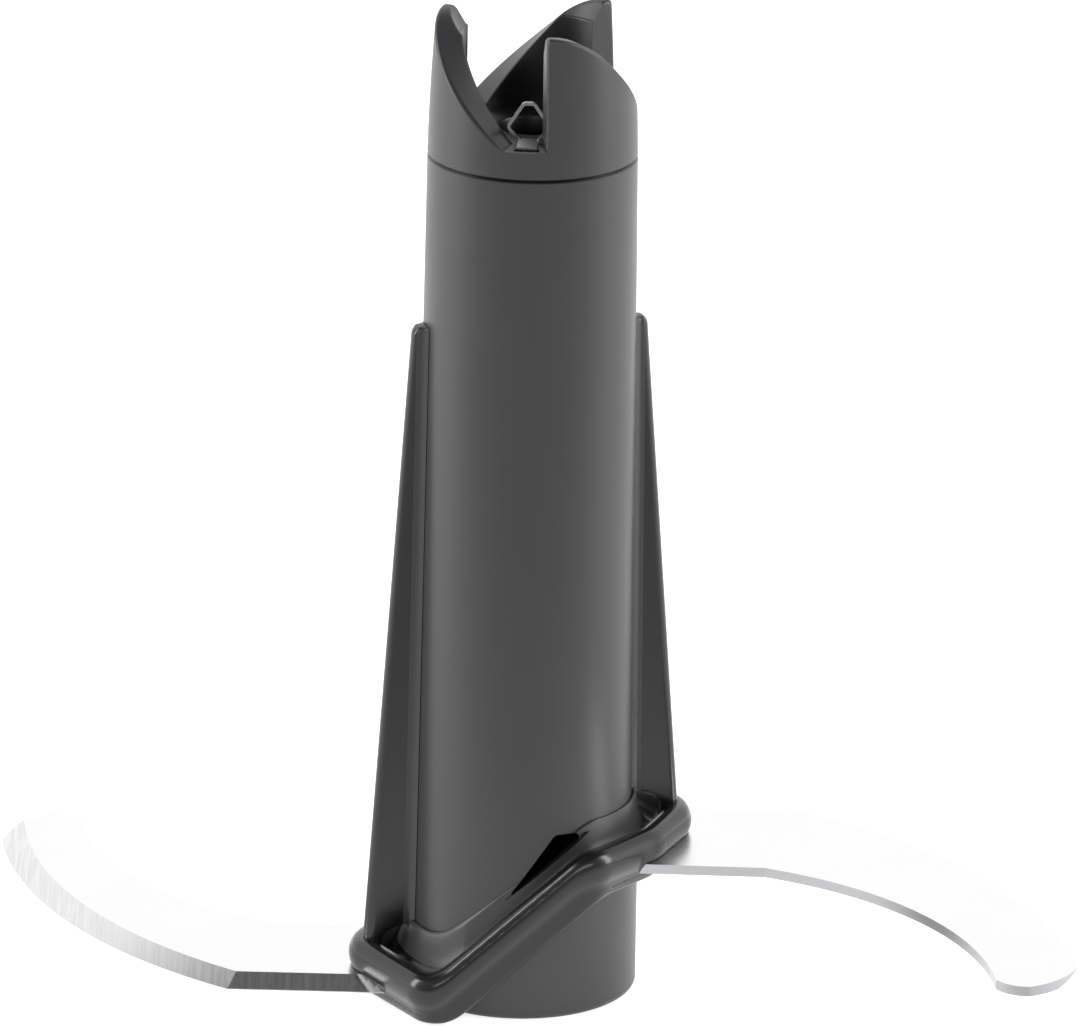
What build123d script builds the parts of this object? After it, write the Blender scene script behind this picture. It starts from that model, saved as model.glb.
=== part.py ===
from build123d import *
import math
import os

# Chopping-blade insert of a small food processor: a moulded hub that drops over the
# post in the bowl, with two crescent steel blades at two heights and a claw crown on
# top that the lid's drive turns.
#
# Millimetres. +Z is the turning axis, pointing up. The origin is on that axis, in the
# plane of the hub's lower rim. The lower blade reaches towards -X, the upper towards +X.

# ---- overall sizes -------------------------------------------------------------------
HUB_HEIGHT = 117.5          # lower rim to the joint line under the crown
TIP_X = 73.6                # along X, to the outer point of a blade
TIP_Y = 44.6                # across X, to the outer point of a blade

# ---- hub tube ------------------------------------------------------------------------
HUB_TOP_R = 14.0
HUB_FOOT_R = 15.25          # taper of the long stretch, carried down to the rim
HUB_WALL = 2.0
SKIRT_PROUD = 0.7           # thicker foot that the blade carrier stands on
SKIRT_ROUND = 0.8
POST_TUBE_WALL = 1.4        # inner tube that holds the bearings
POST_TUBE_LIFT = 1.5        # inner tube stops this far above the rim
RIB_COUNT = 6
RIB_TURN = 21.0             # degrees, keeps the ribs clear of the drain windows
RIB_THICK = 1.4
RIB_LIFT = 4.0
FOOT_RELIEF = 0.3           # the cavity is this much wider below the ribs
WEB_THICK = 3.0             # partition under the crown's socket
SOCKET_DEPTH = 16.0
SOCKET_WALL = 2.6
JOINT_CHAMFER = 0.3

# ---- drive crown ---------------------------------------------------------------------
CROWN_HEIGHT = 19.1         # joint line to the claw peaks
CLAW_COUNT = 3
CLAW_START = 7.5            # degrees from -Y towards +X, to the first upright face
CLAW_FLOOR = 3.9            # notch floor above the joint line
CLAW_CREST_ARC = 35.0       # degrees of rounded crest behind an upright face
CLAW_CREST_RATE = 0.0024    # fall of the crest, millimetres per degree squared
CLAW_FALL = 0.2             # fall of the ramp, millimetres per degree
CROWN_WALL = 4.4
CROWN_TOP_INSET = 1.25      # the claws lean in by this much at their tops
CROWN_MID_INSET = 0.25
CROWN_MID_SHARE = 0.42      # height share where the mid inset applies
CROWN_FLOOR_THICK = 2.4     # floor between the claws
PILOT_R = 4.6               # hole in that floor
LEAD_IN_WIDE = 1.8          # sloping mouth inside the claw tops
LEAD_IN_DEEP = 2.6
LEAD_IN_DROP = 0.3          # its upper edge below the claw peaks
SPIGOT_WALL = 2.0
SPIGOT_FIT = 0.05
SPIGOT_GAP = 0.5            # spigot's foot above the partition
KEY_WIDTH = 3.0
KEY_DEPTH = 1.0
KEY_FIT = 0.1
KEY_HEIGHT = 9.0
KEY_ROOT = 1.0              # the key's block starts this far inside the spigot's face

# ---- retaining spring ----------------------------------------------------------------
SPRING_STRIP = 0.4          # thickness of the bent strip
SPRING_WIDTH = 0.6          # width of the arch, along a radius
SPRING_INSET = 1.0          # middle of the arch, inside the crown's bore
SPRING_SHOULDER_Z = 6.0     # above the joint line
SPRING_PEAK_Z = 9.2
SPRING_HALF_FOOT = 1.1
SPRING_HALF_SHOULDER = 2.8
SPRING_HALF_PEAK = 0.7
SPRING_BEND_R = 0.6
SPRING_SKEW = 3.5           # degrees round from -Y, clockwise seen from above
LUG_INSET = 1.4             # the lug on the notch floor ends this far inside the rim
LUG_WIDTH = 2.7
LUG_LIFT = 0.03             # the lug is free to rock on the notch floor
PEG_DEPTH = 2.2
PEG_CLEAR = 0.3             # lets the lug rock

# ---- bearings ------------------------------------------------------------------------
POST_R = 4.1                # bore for the bowl's post
BUSH_LOWER_LENGTH = 14.0
BUSH_UPPER_LENGTH = 12.0
BUSH_WALL = 1.5
BUSH_FLANGE_INSET = 0.2     # inside the post tube's outer face
BUSH_FLANGE_THICK = 1.2
BUSH_CHAMFER = 0.5
THRUST_THICK = 3.0
THRUST_DOME = 0.4
THRUST_DOME_INSET = 0.2     # the dome is this much smaller than the bore

# ---- blades --------------------------------------------------------------------------
BLADE_THICK = 1.35
BLADE_LIFT = 1.9            # underside of the lower blade above the rim
BLADE_STEP = 17.25          # upper blade above the lower one
ROOT_CUT_Y = 12.0           # sharpened side of the root strip
ROOT_BACK_Y = -9.0          # plain side of the root strip
ROOT_GAP = 0.35             # root's hollow end to the carrier's sleeve
CUT_CORNER_X = 39.5         # corner of the sharpened side
CUT_CORNER_Y = 11.2
CUT_MID_IN = 14.0           # middle of the sharpened sweep, in from the tip's point
CUT_MID_BACK = 35.8
BACK_CORNER_X = 33.0        # corner of the plain side
BACK_CORNER_DROP = 1.2      # the root's plain side slopes away by this much
BACK_MID_IN = 19.6          # middle of the plain sweep, in from the tip's point
BACK_MID_BACK = 17.6
BACK_TIP_IN = 11.0          # where the plain sweep meets the rounded tip, from its point
BACK_TIP_PAST = 5.4
TIP_END_IN = 6.6            # the far end of the rounded tip, from its point
TIP_END_PAST = 7.8
TIP_BOW_OUT = 2.6           # the two curves of the tip pass through points this far
TIP_BOW_BACK = 1.6          # from its far end
TIP_TURN_IN = 2.4
TIP_TURN_BACK = 0.5
BEVEL_WIDTH = 3.4
BEVEL_RUN_OUT = 6.0         # the wheel leaves the strip past its tip
BEVEL_RUN_IN = 5.0          # and starts this far inside the hollow root
BEVEL_CLEAR = 4.0           # the wheel reaches this far outside the strip
BEVEL_UNDER = 1.0           # and this far below it
BEVEL_LAP = 0.01            # its straight pass laps the curved one
EDGE_LAND = 0.12            # thickness left at the cutting edge
LOCATOR_R = 1.2             # holes that the plastic fills
LOCATOR_IN = 2.0            # hole centres, from the root's hollow end
LOCATOR_TURNS = (-3.0, 29.0)

# ---- blade carrier -------------------------------------------------------------------
CARRIER_FIT = 0.05          # bore of the carrier's sleeve over the hub tube
CARRIER_LIFT = 0.4          # underside of its low side above the rim
CARRIER_TALL = 7.0
SLEEVE_WALL = 1.0
SLEEVE_RISE = 2.8           # sleeve stands this far above the rim bead
RAMP_LOW_X = -11.0          # where the upper surface starts to climb
RAMP_HIGH_X = 8.6
RAMP_UNDER_SHIFT = 2.2      # the underside climbs this much further along +X
CORNER_TURNS = (-123.15, -58.2, -22.0, 10.7)    # degrees from +X, half of the corners
CORNER_REACHES = (8.15, 4.3, 4.1, 7.95)         # beyond the tube's foot
CORNER_RADII = (3.4, 5.0, 9.0, 6.0)
BEAD_PROUD = 1.2            # the bead stands this far outside the lower band
BEAD_TALL = 4.8
RIM_INSIDE = 1.2            # bead's inner side, in from the band's face
TROUGH_DEPTH = 2.6          # trough between the bead and the sleeve
POCKET_INSIDE = 2.0         # pocket's side, in from the band's face
POCKET_SKIN = 0.4           # plastic left over the blade
POCKET_X = 14.0             # the pockets lie beyond this, at both ends

# ---- fins ----------------------------------------------------------------------------
FIN_AZIMUTH = 13.0          # degrees from +X towards +Y, and its opposite
FIN_THICK = 2.6
FIN_TOP_DROP = 23.2         # below the joint line
FIN_TOP_REACH = 1.85        # beyond the tube at that height
FIN_FOOT_REACH = 6.75       # beyond the tube's foot
FIN_ARCH_R = 2.1            # opening under the fin, beside the tube
FIN_EDGE_FLAT = 0.3         # left between the two rounded outer edges

# ---- drain window in the tube, above the ramp -----------------------------------------
WINDOW_TIP_X = -2.0
WINDOW_SHOULDER_X = 4.6
WINDOW_END_X = 9.3
WINDOW_LIFT = 1.5           # its lower edge above the bead's upper line
WINDOW_TOP_LIFT = 1.55      # its upper edge above the bead's high end
WINDOW_ROUND = 0.8
WINDOW_TIP_ROUND = 0.2
WINDOW_KEEP_OFF = 1.5       # its cut stops this far outside the post tube


# ---- values worked out from the sizes above ------------------------------------------
BLADE_UPPER_LIFT = BLADE_LIFT + BLADE_STEP
CARRIER_HIGH = CARRIER_LIFT + BLADE_STEP
CARRIER_LOW_TOP = CARRIER_LIFT + CARRIER_TALL
CARRIER_HIGH_TOP = CARRIER_HIGH + CARRIER_TALL
CUT_MID_X = TIP_X - CUT_MID_IN
CUT_MID_Y = -TIP_Y + CUT_MID_BACK
BACK_CORNER_Y = ROOT_BACK_Y - BACK_CORNER_DROP
BACK_MID_X = TIP_X - BACK_MID_IN
BACK_MID_Y = -TIP_Y + BACK_MID_BACK
BACK_TIP_X = TIP_X - BACK_TIP_IN
BACK_TIP_Y = -TIP_Y - BACK_TIP_PAST
TIP_END_X = TIP_X - TIP_END_IN
TIP_END_Y = -TIP_Y - TIP_END_PAST
WEB_TOP = HUB_HEIGHT - SOCKET_DEPTH
WEB_UNDER = WEB_TOP - WEB_THICK
SOCKET_R = HUB_TOP_R - SOCKET_WALL
SKIRT_R = HUB_FOOT_R + SKIRT_PROUD
POST_TUBE_BORE_R = POST_R + BUSH_WALL
POST_TUBE_R = POST_TUBE_BORE_R + POST_TUBE_WALL
BUSH_FLANGE_R = POST_TUBE_R - BUSH_FLANGE_INSET
SPIGOT_R = SOCKET_R - SPIGOT_FIT
CROWN_BORE_R = HUB_TOP_R - CROWN_WALL
CROWN_TOP_R = HUB_TOP_R - CROWN_TOP_INSET
CROWN_MID_R = HUB_TOP_R - CROWN_MID_INSET
SPRING_PLANE_R = CROWN_BORE_R - SPRING_INSET
LUG_OUTER_R = HUB_TOP_R - LUG_INSET
WINDOW_TOP_Z = CARRIER_HIGH_TOP + WINDOW_TOP_LIFT
FIN_TOP_Z = HUB_HEIGHT - FIN_TOP_DROP
FIN_FOOT_R = HUB_FOOT_R + FIN_FOOT_REACH
CROWN_TOP = HUB_HEIGHT + CROWN_HEIGHT
NOTCH_Z = HUB_HEIGHT + CLAW_FLOOR
SPIGOT_FOOT = WEB_TOP + SPIGOT_GAP
FAR = 200.0
CUT_OVER = 4.0              # cutting shapes reach this far past what they cut
RAMP_STATIONS = 24          # heights that a claw's ramp is drawn through
RAMP_LAP = 0.02             # degrees by which the notch cut laps the ramp cut


def hub_r(z):
    """Outer radius of the tapered tube at height z."""
    return HUB_FOOT_R + (HUB_TOP_R - HUB_FOOT_R) * z / HUB_HEIGHT


def rod(z0, z1, r0, r1=None):
    """Solid round bar or cone about the axis."""
    top = r0 if r1 is None else r1
    outline = Polyline((0, 0, z0), (r0, 0, z0), (top, 0, z1), (0, 0, z1), close=True)
    return revolve(make_face(outline), Axis.Z)


def circles_of(shape, radius):
    """Round edges of one radius."""
    rounds = shape.edges().filter_by(GeomType.CIRCLE)
    return rounds.filter_by(lambda edge: abs(edge.radius - radius) < 0.01)


def only_solid(shape):
    """The largest solid of a shape, which is the piece itself."""
    return max(shape.solids(), key=lambda solid: solid.volume)


# ---- the carrier's two height lines, shared by everything that meets it ----------------
def height_prism(low, high, shift, reach_up):
    """Everything above (reach_up > 0) or below a line that is low at -X and high at +X."""
    far_z = FAR if reach_up > 0 else -FAR
    outline = Polyline(
        (-FAR, 0, low), (RAMP_LOW_X + shift, 0, low), (RAMP_HIGH_X + shift, 0, high),
        (FAR, 0, high), (FAR, 0, far_z), (-FAR, 0, far_z), close=True)
    return Pos(0, FAR / 2, 0) * extrude(make_face(outline), FAR, dir=(0, -1, 0))


def above_line(offset):
    return height_prism(CARRIER_LOW_TOP + offset, CARRIER_HIGH_TOP + offset, 0, 1)


def above_underside(offset=0.0):
    return height_prism(CARRIER_LIFT + offset, CARRIER_HIGH + offset, RAMP_UNDER_SHIFT, 1)


def below_underside(offset=0.0):
    return height_prism(CARRIER_LIFT + offset, CARRIER_HIGH + offset, RAMP_UNDER_SHIFT, -1)


def carrier_plan(grow):
    """Rounded outline of the carrier's band, drawn outwards by grow."""
    half = []
    for turn, reach in zip(CORNER_TURNS, CORNER_REACHES):
        angle = math.radians(turn)
        r = HUB_FOOT_R + reach
        half.append((r * math.cos(angle), r * math.sin(angle)))
    points = half + [(-x, -y) for x, y in half]
    face = make_face(Polyline(*points, close=True))
    for (x, y), radius in zip(points, CORNER_RADII * 2):
        corner = face.vertices().sort_by_distance((x, y, 0))[0]
        face = fillet(corner, radius)
    if grow:
        face = offset(face, grow, kind=Kind.ARC)
    return face


def plan_prism(grow, z0, z1):
    return Pos(0, 0, z0) * extrude(carrier_plan(grow), z1 - z0)


# ---- hub tube --------------------------------------------------------------------------
def make_hub_tube():
    hub = rod(0, HUB_HEIGHT, HUB_FOOT_R, HUB_TOP_R)
    hub = chamfer(circles_of(hub, HUB_TOP_R), JOINT_CHAMFER)
    skirt = rod(0, CARRIER_HIGH_TOP, SKIRT_R)
    skirt = fillet(skirt.edges().filter_by(GeomType.CIRCLE).sort_by(Axis.Z)[0], SKIRT_ROUND)
    hub += skirt & below_underside()
    hub -= hub_cavity()
    hub -= rod(-CUT_OVER, WEB_UNDER, POST_TUBE_BORE_R)
    hub -= rod(WEB_TOP, HUB_HEIGHT + CUT_OVER, SOCKET_R)
    for k in range(CLAW_COUNT):
        hub -= Rot(0, 0, k * 360 / CLAW_COUNT) * key_block(KEY_FIT)
    for window in drain_windows():
        hub -= window
    return only_solid(hub)


def hub_cavity():
    """Space between shell and post tube, divided by the ribs."""
    foot_in = HUB_FOOT_R - HUB_WALL
    cavity = rod(RIB_LIFT, WEB_UNDER, foot_in, hub_r(WEB_UNDER) - HUB_WALL)
    cavity += rod(-CUT_OVER, RIB_LIFT, foot_in + FOOT_RELIEF)
    cavity -= rod(POST_TUBE_LIFT, WEB_UNDER + 1, POST_TUBE_R)
    rib_z = (RIB_LIFT + WEB_UNDER + 1) / 2
    rib = Pos(HUB_FOOT_R, 0, rib_z) * Box(2 * HUB_FOOT_R, RIB_THICK, WEB_UNDER + 1 - RIB_LIFT)
    for k in range(RIB_COUNT):
        cavity -= Rot(0, 0, RIB_TURN + k * 360 / RIB_COUNT) * rib
    return cavity


def drain_windows():
    """Three-cornered windows, front and back, through sleeve and tube above the ramp."""
    tip_z = rim_z(WINDOW_TIP_X) + WINDOW_LIFT
    face = make_face(Polyline(
        (WINDOW_TIP_X, tip_z), (WINDOW_END_X, WINDOW_TOP_Z),
        (WINDOW_SHOULDER_X, WINDOW_TOP_Z), close=True))
    corners = face.vertices().sort_by(Axis.X)
    face = fillet(corners[0], WINDOW_TIP_ROUND)
    face = fillet(face.vertices().sort_by(Axis.Y)[-2:], WINDOW_ROUND)
    inner = POST_TUBE_R + WINDOW_KEEP_OFF
    front = Pos(0, -inner, 0) * extrude(Plane.XZ * face, SKIRT_R, dir=(0, -1, 0))
    return [front, mirror(front, Plane.XZ)]


def rim_z(x):
    """Height of the bead's upper line at x."""
    share = (x - RAMP_LOW_X) / (RAMP_HIGH_X - RAMP_LOW_X)
    return CARRIER_LOW_TOP + BLADE_STEP * min(max(share, 0.0), 1.0)


def key_block(grow):
    """Key between the crown's spigot and its socket, or with grow the slot for it."""
    width = KEY_WIDTH + 2 * grow
    reach = KEY_DEPTH + grow
    z0 = WEB_TOP if grow else SPIGOT_FOOT
    z1 = SPIGOT_FOOT + KEY_HEIGHT + grow
    deep = reach + KEY_ROOT
    return Pos(SOCKET_R - KEY_ROOT + deep / 2, 0, (z0 + z1) / 2) * Box(deep, width, z1 - z0)


# ---- drive crown -----------------------------------------------------------------------
def claw_height(turn):
    """Height of the claw top, turn degrees behind its upright face."""
    if turn <= CLAW_CREST_ARC:
        return CROWN_TOP - CLAW_CREST_RATE * turn ** 2
    crest_end = CROWN_TOP - CLAW_CREST_RATE * CLAW_CREST_ARC ** 2
    return crest_end - CLAW_FALL * (turn - CLAW_CREST_ARC)


def ramp_end():
    """Degrees behind an upright face where its ramp meets the notch floor."""
    crest_end = CROWN_TOP - CLAW_CREST_RATE * CLAW_CREST_ARC ** 2
    return CLAW_CREST_ARC + (crest_end - NOTCH_Z) / CLAW_FALL


def polar(r, turn):
    angle = math.radians(-90 + CLAW_START + turn)
    return (r * math.cos(angle), r * math.sin(angle))


def claw_cutters(inner_r, outer_r):
    """What is cut away above one claw: its ramp, then the flat notch floor."""
    span = ramp_end()
    rows = []
    for i in range(RAMP_STATIONS + 1):
        turn = span * i / RAMP_STATIONS
        rows.append([Vector(*polar(r, turn), claw_height(turn)) for r in (inner_r, outer_r)])
    top = Face.make_surface_from_array_of_points(rows)
    lid = CROWN_TOP + CUT_OVER
    ramp = extrude(top, lid - NOTCH_Z, dir=(0, 0, 1))
    pitch = 360 / CLAW_COUNT
    reach = outer_r / math.cos(math.radians((pitch - span) / 2))
    wedge = make_face(Polyline(
        (0, 0), polar(reach, span - RAMP_LAP), polar(reach, (span + pitch) / 2),
        polar(reach, pitch), close=True))
    notch = Pos(0, 0, NOTCH_Z) * extrude(wedge, lid - NOTCH_Z)
    return ramp, notch


def make_drive_crown():
    mid_z = HUB_HEIGHT + CROWN_HEIGHT * CROWN_MID_SHARE
    lid = CROWN_TOP + CUT_OVER
    side = ThreePointArc(
        (HUB_TOP_R, 0, HUB_HEIGHT), (CROWN_MID_R, 0, mid_z), (CROWN_TOP_R, 0, lid))
    rest = Polyline(
        (CROWN_TOP_R, 0, lid), (0, 0, lid), (0, 0, HUB_HEIGHT), (HUB_TOP_R, 0, HUB_HEIGHT))
    crown = revolve(make_face(side + rest), Axis.Z)
    crown = chamfer(circles_of(crown, HUB_TOP_R), JOINT_CHAMFER)
    crown -= rod(NOTCH_Z, lid + 1, CROWN_BORE_R)
    lead_top = CROWN_TOP - LEAD_IN_DROP
    rate = LEAD_IN_WIDE / LEAD_IN_DEEP
    crown -= rod(
        lead_top - LEAD_IN_DEEP, lid + 1, CROWN_BORE_R,
        CROWN_BORE_R + rate * (lid + 1 - lead_top + LEAD_IN_DEEP))
    for k in range(CLAW_COUNT):
        ramp, notch = claw_cutters(CROWN_BORE_R / 2, HUB_TOP_R + CUT_OVER)
        turn = Rot(0, 0, k * 360 / CLAW_COUNT)
        crown = crown - turn * ramp - turn * notch
    crown += rod(SPIGOT_FOOT, HUB_HEIGHT, SPIGOT_R)
    for k in range(CLAW_COUNT):
        crown += Rot(0, 0, k * 360 / CLAW_COUNT) * key_block(0)
    crown -= rod(SPIGOT_FOOT - 1, NOTCH_Z - CROWN_FLOOR_THICK, SPIGOT_R - SPIGOT_WALL)
    crown -= rod(SPIGOT_FOOT, lid, PILOT_R)
    crown -= spring_seat()
    return only_solid(crown)


# ---- retaining spring ------------------------------------------------------------------
def spring_frame(shape):
    """Turn a shape that was made facing -Y to where the spring stands."""
    return Rot(0, 0, -SPRING_SKEW) * shape


def make_retaining_spring():
    lug_z = NOTCH_Z + LUG_LIFT + SPRING_STRIP / 2
    line = FilletPolyline(
        (-SPRING_HALF_FOOT, lug_z), (-SPRING_HALF_SHOULDER, HUB_HEIGHT + SPRING_SHOULDER_Z),
        (-SPRING_HALF_PEAK, HUB_HEIGHT + SPRING_PEAK_Z),
        (SPRING_HALF_PEAK, HUB_HEIGHT + SPRING_PEAK_Z),
        (SPRING_HALF_SHOULDER, HUB_HEIGHT + SPRING_SHOULDER_Z),
        (SPRING_HALF_FOOT, lug_z), radius=SPRING_BEND_R)
    arch = Plane.XZ * make_face(offset(line, SPRING_STRIP / 2, kind=Kind.ARC))
    arch = Pos(0, -SPRING_PLANE_R, 0) * extrude(arch, SPRING_WIDTH / 2, both=True)
    inner_r = SPRING_PLANE_R - SPRING_WIDTH / 2
    lug = Pos(0, -(inner_r + LUG_OUTER_R) / 2, lug_z) * Box(
        LUG_WIDTH, LUG_OUTER_R - inner_r, SPRING_STRIP)
    peg = Pos(0, -LUG_OUTER_R + SPRING_STRIP / 2, lug_z - PEG_DEPTH / 2) * Box(
        LUG_WIDTH, SPRING_STRIP, PEG_DEPTH)
    return only_solid(spring_frame(arch + lug + peg))


def spring_seat():
    """Slot in the notch floor that the lug's turned-down end drops into."""
    slot = Pos(0, -LUG_OUTER_R + SPRING_STRIP / 2, NOTCH_Z - PEG_DEPTH / 2) * Box(
        LUG_WIDTH + 2 * PEG_CLEAR, SPRING_STRIP + 2 * PEG_CLEAR, PEG_DEPTH + 2 * PEG_CLEAR)
    return spring_frame(slot)


# ---- bearings --------------------------------------------------------------------------
def make_lower_bush():
    z0 = POST_TUBE_LIFT
    bush = rod(z0, z0 + BUSH_LOWER_LENGTH, POST_TUBE_BORE_R)
    bush += rod(z0 - BUSH_FLANGE_THICK, z0, BUSH_FLANGE_R)
    bush -= rod(-CUT_OVER, FAR, POST_R)
    return only_solid(chamfer(circles_of(bush, POST_R), BUSH_CHAMFER))


def make_upper_bush():
    top = WEB_UNDER - THRUST_THICK
    bush = rod(top - BUSH_UPPER_LENGTH, top, POST_TUBE_BORE_R) - rod(0, FAR, POST_R)
    return only_solid(chamfer(circles_of(bush, POST_R), BUSH_CHAMFER))


def make_thrust_pad():
    top = WEB_UNDER
    low = top - THRUST_THICK
    pad = rod(low, top, POST_TUBE_BORE_R)
    reach = POST_R - THRUST_DOME_INSET
    ball_r = (reach ** 2 + THRUST_DOME ** 2) / (2 * THRUST_DOME)
    dome = Pos(0, 0, low - THRUST_DOME + ball_r) * Sphere(ball_r)
    dome = dome & rod(low - THRUST_DOME - 1, low + THRUST_DOME / 2, POST_R)
    return only_solid(pad + dome)


# ---- blades ----------------------------------------------------------------------------
def blade_outline():
    """Edges of the crescent that reaches towards +X, sharpened side at +Y."""
    cut = Line((0, ROOT_CUT_Y), (CUT_CORNER_X, CUT_CORNER_Y))
    sweep_out = ThreePointArc(
        (CUT_CORNER_X, CUT_CORNER_Y), (CUT_MID_X, CUT_MID_Y), (TIP_X, -TIP_Y))
    tip = ThreePointArc(
        (TIP_X, -TIP_Y), (TIP_END_X + TIP_BOW_OUT, TIP_END_Y + TIP_BOW_BACK), (TIP_END_X, TIP_END_Y))
    tip_in = ThreePointArc(
        (TIP_END_X, TIP_END_Y), (TIP_END_X - TIP_TURN_IN, TIP_END_Y + TIP_TURN_BACK),
        (BACK_TIP_X, BACK_TIP_Y))
    back = ThreePointArc(
        (BACK_TIP_X, BACK_TIP_Y), (BACK_MID_X, BACK_MID_Y), (BACK_CORNER_X, BACK_CORNER_Y))
    root_back = Line((BACK_CORNER_X, BACK_CORNER_Y), (0, ROOT_BACK_Y))
    root = Line((0, ROOT_BACK_Y), (0, ROOT_CUT_Y))
    return [cut, sweep_out, tip, tip_in, back, root_back, root]


def bevel_cut():
    """Wedge that grinds the sharpened side, taken off the lower corner of the strip."""
    drop = BLADE_THICK - EDGE_LAND
    cutters = []
    lines = [
        Line((-BEVEL_RUN_IN, ROOT_CUT_Y), (CUT_CORNER_X + BEVEL_LAP, CUT_CORNER_Y)),
        ThreePointArc((CUT_CORNER_X, CUT_CORNER_Y), (CUT_MID_X, CUT_MID_Y), (TIP_X, -TIP_Y)),
    ]
    for line in lines + [Line(lines[-1] @ 1, lines[-1] @ 1 + (lines[-1] % 1) * BEVEL_RUN_OUT)]:
        start = line @ 0
        heading = line % 0
        side = Vector(heading.Y, -heading.X, 0)
        section = Plane(origin=start, x_dir=side, z_dir=heading)
        # x is inwards from the cutting edge, y is up or down with the handed plane
        up = 1 if section.y_dir.Z > 0 else -1
        wedge = Polyline(
            (-BEVEL_CLEAR, -up * BEVEL_UNDER), (BEVEL_WIDTH, -up * BEVEL_UNDER), (BEVEL_WIDTH, 0),
            (0, up * drop), (-BEVEL_CLEAR, up * drop), close=True)
        cutters.append(sweep(section * make_face(wedge), path=line))
    return cutters


def make_blade(upper):
    """One stamped crescent blade, made towards +X and turned round for the lower one."""
    face = make_face(Wire([e for line in blade_outline() for e in line.edges()]))
    blade = extrude(face, BLADE_THICK)
    for cutter in bevel_cut():
        blade -= cutter
    lift = BLADE_UPPER_LIFT if upper else BLADE_LIFT
    inner = hub_r(lift) + CARRIER_FIT + SLEEVE_WALL + ROOT_GAP
    blade -= rod(-CUT_OVER, CUT_OVER, inner)
    for turn in LOCATOR_TURNS:
        blade -= Rot(0, 0, turn) * Pos(inner + LOCATOR_IN, 0, 0) * rod(
            -CUT_OVER, CUT_OVER, LOCATOR_R)
    blade = only_solid(blade)
    if not upper:
        # the lower blade has the same outline half a turn round, ground on its other face
        middle = Plane(origin=(0, 0, BLADE_THICK / 2), z_dir=(0, 0, 1))
        blade = mirror(Rot(0, 0, 180) * blade, middle)
    return Pos(0, 0, lift) * blade


# ---- blade carrier -----------------------------------------------------------------------
def fin_foot(side):
    return CARRIER_HIGH_TOP if side == 0 else CARRIER_LOW_TOP


def fin(side):
    """Tapering web from the rim bead up the hub; side 0 is towards +X, side 1 towards -X."""
    foot = fin_foot(side) - TROUGH_DEPTH
    inner_top = hub_r(FIN_TOP_Z) + CARRIER_FIT
    inner_foot = hub_r(foot) + CARRIER_FIT
    web = Polyline(
        (inner_foot, 0, foot), (FIN_FOOT_R, 0, foot),
        (hub_r(FIN_TOP_Z) + FIN_TOP_REACH, 0, FIN_TOP_Z),
        (inner_top, 0, FIN_TOP_Z), close=True)
    plate = extrude(make_face(web), FIN_THICK / 2, both=True, dir=(0, 1, 0))
    tall = plate.edges().filter_by(lambda edge: edge.length > (FIN_TOP_Z - foot) / 2)
    rounded = tall.sort_by(Axis.X)[-2:]
    plate = fillet(rounded, (FIN_THICK - FIN_EDGE_FLAT) / 2)
    return (Rot(0, 0, FIN_AZIMUTH + 180 * side) * plate) - fin_arch(side)


def fin_arch(side):
    """Round-topped opening between the fin's foot, the tube and the trough."""
    z = fin_foot(side)
    x = hub_r(z) + FIN_ARCH_R
    wide = 2 * FIN_ARCH_R
    arch = Rot(90, 0, 0) * Cylinder(FIN_ARCH_R, FIN_THICK + CUT_OVER)
    arch += Pos(0, 0, -TROUGH_DEPTH / 2) * Box(wide, FIN_THICK + CUT_OVER, TROUGH_DEPTH)
    return Rot(0, 0, FIN_AZIMUTH + 180 * side) * Pos(x, 0, z) * arch


def make_carrier():
    z0 = CARRIER_LIFT - CUT_OVER
    z1 = CARRIER_HIGH_TOP + SLEEVE_RISE + CUT_OVER
    body = plan_prism(0, z0, z1) & above_underside() - above_line(0)
    body += plan_prism(BEAD_PROUD, z0, z1) & (above_line(-BEAD_TALL) - above_line(0))
    body -= plan_prism(-RIM_INSIDE, z0, z1) & above_line(-TROUGH_DEPTH)
    for upper in (False, True):
        lift = (BLADE_UPPER_LIFT if upper else BLADE_LIFT) + BLADE_THICK + POCKET_SKIN
        end = Pos((1 if upper else -1) * (POCKET_X + FAR / 2), 0, lift + FAR / 2) * Box(FAR, FAR, FAR)
        body -= plan_prism(-POCKET_INSIDE, z0, z1) & end
    sleeve_r = hub_r(0) + CARRIER_FIT + SLEEVE_WALL
    body += rod(z0, z1, sleeve_r) & (above_underside() - above_line(SLEEVE_RISE))
    for side in (0, 1):
        body -= fin_arch(side)
        body += fin(side)
    bore_top = FIN_TOP_Z + CUT_OVER
    body -= rod(z0, bore_top, hub_r(z0) + CARRIER_FIT, hub_r(bore_top) + CARRIER_FIT)
    for cutter in drain_windows() + [make_blade(False), make_blade(True)]:
        body -= cutter
    return only_solid(body)


def save(name, shape):
    shape.label = name
    export_step(shape, "parts/" + name + ".step")


os.makedirs("parts", exist_ok=True)
save("hub_tube", make_hub_tube())
save("drive_crown", make_drive_crown())
save("retaining_spring", make_retaining_spring())
save("lower_bush", make_lower_bush())
save("upper_bush", make_upper_bush())
save("thrust_pad", make_thrust_pad())
save("lower_blade", make_blade(False))
save("upper_blade", make_blade(True))
save("blade_carrier", make_carrier())
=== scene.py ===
import bmesh
import bpy
import math
import numpy as np
from mathutils import Matrix, Vector


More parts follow.
